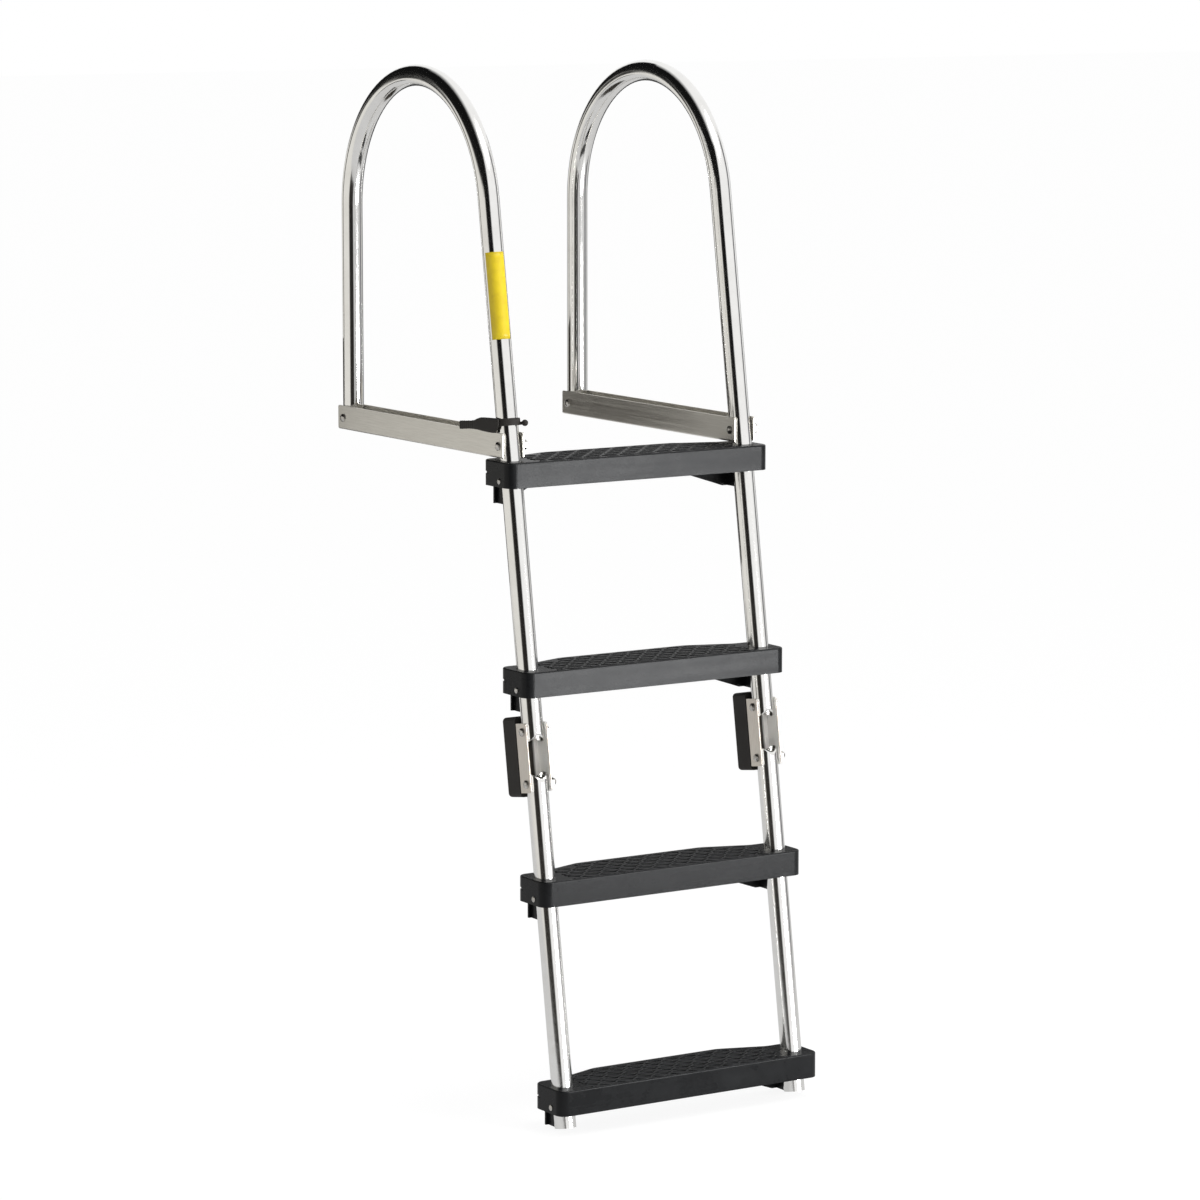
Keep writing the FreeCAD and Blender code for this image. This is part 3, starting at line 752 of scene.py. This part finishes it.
def strap_form():
    """Loop and tail as one object."""
    loop_points, loop_faces = strap_loop()
    tail_points, tail_faces = strap_tail()
    first = len(loop_points)
    faces = loop_faces + [[first + i for i in face] for face in tail_faces]
    obj = add_mesh("stow_strap_form", loop_points + tail_points, faces)
    edit = bmesh.new()
    edit.from_mesh(obj.data)
    bmesh.ops.recalc_face_normals(edit, faces=edit.faces)
    edit.to_mesh(obj.data)
    edit.free()
    finish_with(obj, pad_rubber)
    return obj


strap = strap_form()
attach(strap, "upper_section")
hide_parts("stow_strap")
print("strap", [tuple(round(v, 4) for v in corner) for corner in (strap_low, strap_high)])

# %% [markdown]
# ## World and floor
# The floor and the world show as plain white, and the floor can be seen through from below, so that the
# undersides of the treads can be looked at. Both are brighter to the eye, straight or by a mirror, than they
# are as a source of light, so the picture is white and the shadows stay. The floor is a little dimmer in
# reflections.

# %% World and floor
WORLD_LIGHT = 0.55
WORLD_SEEN = 1.0
FLOOR_LIGHT = 0.3
FLOOR_SEEN = 0.9
FLOOR_DIMMER_IN_MIRRORS = 0.34
FLOOR_TONE = 0.16
FLOOR_REACH = 40.0
FLOOR_GAP = 3.0 * MM


def brighter_to_the_eye(tree, rays, light, seen):
    """The light level for most rays, the seen level for rays from the camera, a mirror or glass."""
    looks = maths(tree, "MAXIMUM", rays["Is Camera Ray"], rays["Is Glossy Ray"])
    looks = maths(tree, "MAXIMUM", looks, rays["Is Transmission Ray"])
    return mapped(tree, looks, light, seen)


def white_world():
    """A white surround."""
    world = bpy.data.worlds.new("studio")
    world.use_nodes = True
    tree = world.node_tree
    rays = tree.nodes.new("ShaderNodeLightPath").outputs
    feed(tree, tree.nodes["Background"], {
        "Color": (1.0, 1.0, 1.0, 1.0),
        "Strength": brighter_to_the_eye(tree, rays, WORLD_LIGHT, WORLD_SEEN)})
    bpy.context.scene.world = world


def pale_floor(height):
    """A wide floor that glows white, takes the ladder's shadow and is clear from below."""
    material, tree = bare_material("floor_white")
    rays = tree.nodes.new("ShaderNodeLightPath").outputs
    level = brighter_to_the_eye(tree, rays, FLOOR_LIGHT, FLOOR_SEEN)
    dimmed = maths(tree, "MULTIPLY_ADD", rays["Is Glossy Ray"], -FLOOR_DIMMER_IN_MIRRORS, level)
    matt = step(tree, "ShaderNodeBsdfDiffuse", {"Color": (FLOOR_TONE, FLOOR_TONE, FLOOR_TONE, 1.0)})
    glow = step(tree, "ShaderNodeEmission", {"Color": (1.0, 1.0, 1.0, 1.0), "Strength": dimmed})
    from_above = step(tree, "ShaderNodeAddShader", {0: matt, 1: glow})
    from_below = tree.nodes.new("ShaderNodeNewGeometry").outputs["Backfacing"]
    one_sided = step(tree, "ShaderNodeMixShader", {0: from_below, 1: from_above,
                                                   2: step(tree, "ShaderNodeBsdfTransparent")})
    feed(tree, tree.nodes["Material Output"], {"Surface": one_sided})
    signs = ((-1, -1), (1, -1), (1, 1), (-1, 1))
    corners = [Vector((x * FLOOR_REACH, y * FLOOR_REACH, height)) for x, y in signs]
    floor = add_mesh("floor", corners, [[0, 1, 2, 3]], smooth=False)
    finish_with(floor, material)
    return floor


white_world()
floor = pale_floor(cad_box[0][2] - FLOOR_GAP)
print("floor at", round(floor.data.vertices[0].co.z, 4))

# %% [markdown]
# ## Flags
# Mirror-polished tube is only as good as what it reflects, so black, grey and cream flags stand round the
# ladder. They are seen by reflections alone: they take no light away and never show in the picture. Each one
# has its own tone and fades out at its edges, so the bands on the tubes end softly. Both are written into
# the flag's mesh, point by point, and one material reads them.

# %% A flag's mesh and material


def flag_material():
    """Glows in the flag's own tone and fades out where its cover falls to nothing."""
    material, tree = bare_material("flag")
    tone = add_node(tree, "ShaderNodeAttribute", attribute_name="tone").outputs["Color"]
    cover = add_node(tree, "ShaderNodeAttribute", attribute_name="cover").outputs["Fac"]
    glow = step(tree, "ShaderNodeEmission", {"Color": tone, "Strength": 1.0})
    clear = step(tree, "ShaderNodeBsdfTransparent")
    both = step(tree, "ShaderNodeMixShader", {0: cover, 1: clear, 2: glow})
    feed(tree, tree.nodes["Material Output"], {"Surface": both})
    return material


flag_finish = flag_material()


def add_flag(name, wide, points, tones, covers):
    """A sheet of points in rows, seen by reflections alone, with a tone and a cover at every point."""
    flag = add_mesh(name, points, grid_faces(len(points) // wide, wide))
    flag.data.attributes.new("tone", "FLOAT_COLOR", "POINT")
    flag.data.attributes.new("cover", "FLOAT", "POINT")
    for i, (tone, cover) in enumerate(zip(tones, covers)):
        flag.data.attributes["tone"].data[i].color = (*tone, 1.0)
        flag.data.attributes["cover"].data[i].value = cover
    finish_with(flag, flag_finish)
    flag.visible_camera = False
    flag.visible_diffuse = False
    flag.visible_shadow = False
    flag.visible_transmission = False


# %% [markdown]
# ## Walls, ceiling and card
# The ceiling flag darkens the tops of the hoops, the flag beside the camera draws the dark line down each
# tube, the ones at the back draw the thin lines at the tubes' edges, and the pale walls on the left give the
# plates and the backs of the tubes their warm grey.

# %% Flags for the reflections
FLAG_DISTANCE = 3.0
BEHIND_FLAGS = 3.02
WALL_STEPS = 24
WALL_FOOT = -3.0
WALL_TOP = 3.4
TONE_LOW_UNTIL = -1.0
TONE_FULL_FROM = 0.6
CEILING_HEIGHT = 1.9
CEILING_LEFT = -3.2
CEILING_SOFT = 0.6
CEILING_STEPS = 16
# the ceiling's right edge, as (behind the front bolts, right of the middle) in metres
CEILING_EDGE = [(3.4, 0.40), (2.0, 0.20), (1.0, -0.03), (0.0, -0.36), (-1.0, -0.75), (-2.0, -1.3),
                (-3.2, -2.1)]
BLACK = (0.006, 0.006, 0.006)
SOFT_BLACK = (0.040, 0.036, 0.032)
CREAM = (0.82, 0.805, 0.765)
GREY = (0.70, 0.69, 0.67)


def ramp(value, start, end):
    """0 at the start, 1 at the end, straight between."""
    return min(max((value - start) / (end - start), 0.0), 1.0)


def wall_flag(name, start, end, low, high, tone, soft=6.0, soft_low=0.12, tone_low=None,
              distance=FLAG_DISTANCE):
    """A curved wall between two azimuths in degrees: 0 is towards the water, negative to the left.
    Its foot runs from the first low height to the second."""
    points = []
    tones = []
    covers = []
    for row in range(WALL_STEPS + 1):
        for column in range(WALL_STEPS + 1):
            azimuth = start + (end - start) * column / WALL_STEPS
            foot = low[0] + (low[1] - low[0]) * column / WALL_STEPS
            z = foot + (high - foot) * (row / WALL_STEPS) ** 2
            a = math.radians(azimuth)
            points.append(Vector((middle_x + distance * math.sin(a),
                                  front_bolt.y - distance * math.cos(a), z)))
            share = ramp(z, TONE_LOW_UNTIL, TONE_FULL_FROM)
            tones.append([l + (t - l) * share for l, t in zip(tone_low or tone, tone)])
            covers.append(ramp(azimuth, start, start + soft) * ramp(azimuth, end, end - soft)
                          * ramp(z, foot, foot + soft_low))
    add_flag(name, WALL_STEPS + 1, points, tones, covers)


def ceiling_flag(edge, soft, tone):
    """A dark ceiling over the left, whose right edge is given from the back to the front."""
    points = []
    covers = []
    for y, x in edge:
        for column in range(CEILING_STEPS + 1):
            side = CEILING_LEFT + (x + soft / 2 - CEILING_LEFT) * (column / CEILING_STEPS)
            points.append(Vector((middle_x + side, front_bolt.y + y, CEILING_HEIGHT)))
            covers.append(ramp(side, x + soft / 2, x - soft / 2))
    add_flag("ceiling_flag", CEILING_STEPS + 1, points, [tone] * len(points), covers)


def back_card(left, right_end, low, high, behind, tone):
    """A small upright card behind the ladder, which the right channel and the rear legs pick up."""
    corners = [Vector((x, behind, z)) for z in (low, high) for x in (left, right_end)]
    add_flag("back_card_flag", 2, corners, [tone] * 4, [1.0] * 4)


to_the_ground = (WALL_FOOT, WALL_FOOT)
wall_flag("camera_flag", -77.0, -22.0, to_the_ground, WALL_TOP, BLACK, soft=8.0, tone_low=SOFT_BLACK)
wall_flag("left_high_flag", -146.0, -58.0, (0.80, 0.70), WALL_TOP, BLACK, soft=5.0, soft_low=0.30)
wall_flag("back_left_flag", -190.0, -138.0, (0.38, 0.42), WALL_TOP, BLACK, soft=5.0, soft_low=0.22)
wall_flag("back_strip_flag", -157.0, -143.0, (-0.42, -0.42), 0.9, BLACK, soft=4.0, soft_low=0.22,
          distance=BEHIND_FLAGS)
wall_flag("low_strip_flag", -160.0, -134.0, to_the_ground, -0.75, (0.07, 0.068, 0.065), soft=5.0,
          distance=BEHIND_FLAGS)
wall_flag("left_cream_wall", -178.0, -62.0, (-0.75, -1.3), 1.4, CREAM, soft=4.0, soft_low=0.5,
          distance=3.05)
wall_flag("left_low_wall", -182.0, -62.0, to_the_ground, 1.0, GREY, soft=6.0, distance=3.1)
wall_flag("right_flag", 64.0, 94.0, to_the_ground, 2.2, (0.16, 0.16, 0.17), soft=10.0)
ceiling_flag(CEILING_EDGE, CEILING_SOFT, BLACK)
back_card(-0.10, 0.30, -0.30, 0.12, 0.45, (0.03, 0.026, 0.022))
wall_flag("right_back_flag", 116.0, 178.0, to_the_ground, 0.45, (0.06, 0.06, 0.06), soft=8.0)

# %% [markdown]
# ## Lamps
# The key is a soft lamp at the right front, at the height of the middle treads: the long faces of the upper
# treads mirror it towards the camera and the lowest ones don't, so they get darker from tread to tread. A
# larger lamp over the right front lights the tops. The world fills the rest, so no lamp stands on the left.

# %% Lamps


def soft_lamp(name, place, aim_at, width, height, power, colour):
    """A rectangular lamp that points at a place."""
    data = bpy.data.lights.new(name, "AREA")
    data.shape = "RECTANGLE"
    data.size = width
    data.size_y = height
    data.energy = power
    data.color = colour
    lamp = bpy.data.objects.new(name, data)
    bpy.context.scene.collection.objects.link(lamp)
    lamp.location = place
    lamp.rotation_mode = "QUATERNION"
    lamp.rotation_quaternion = (Vector(aim_at) - Vector(place)).to_track_quat("-Z", "Y")


soft_lamp("key", (1.38, -2.45, -0.55), (0.1, -0.25, -0.40), 1.25, 0.9, 56.0, (0.98, 0.99, 1.0))
soft_lamp("top", (0.9, -1.6, 2.4), (0.2, -0.2, -0.2), 1.6, 1.4, 34.0, (1.0, 1.0, 1.0))
bpy.context.scene.view_settings.view_transform = "Standard"
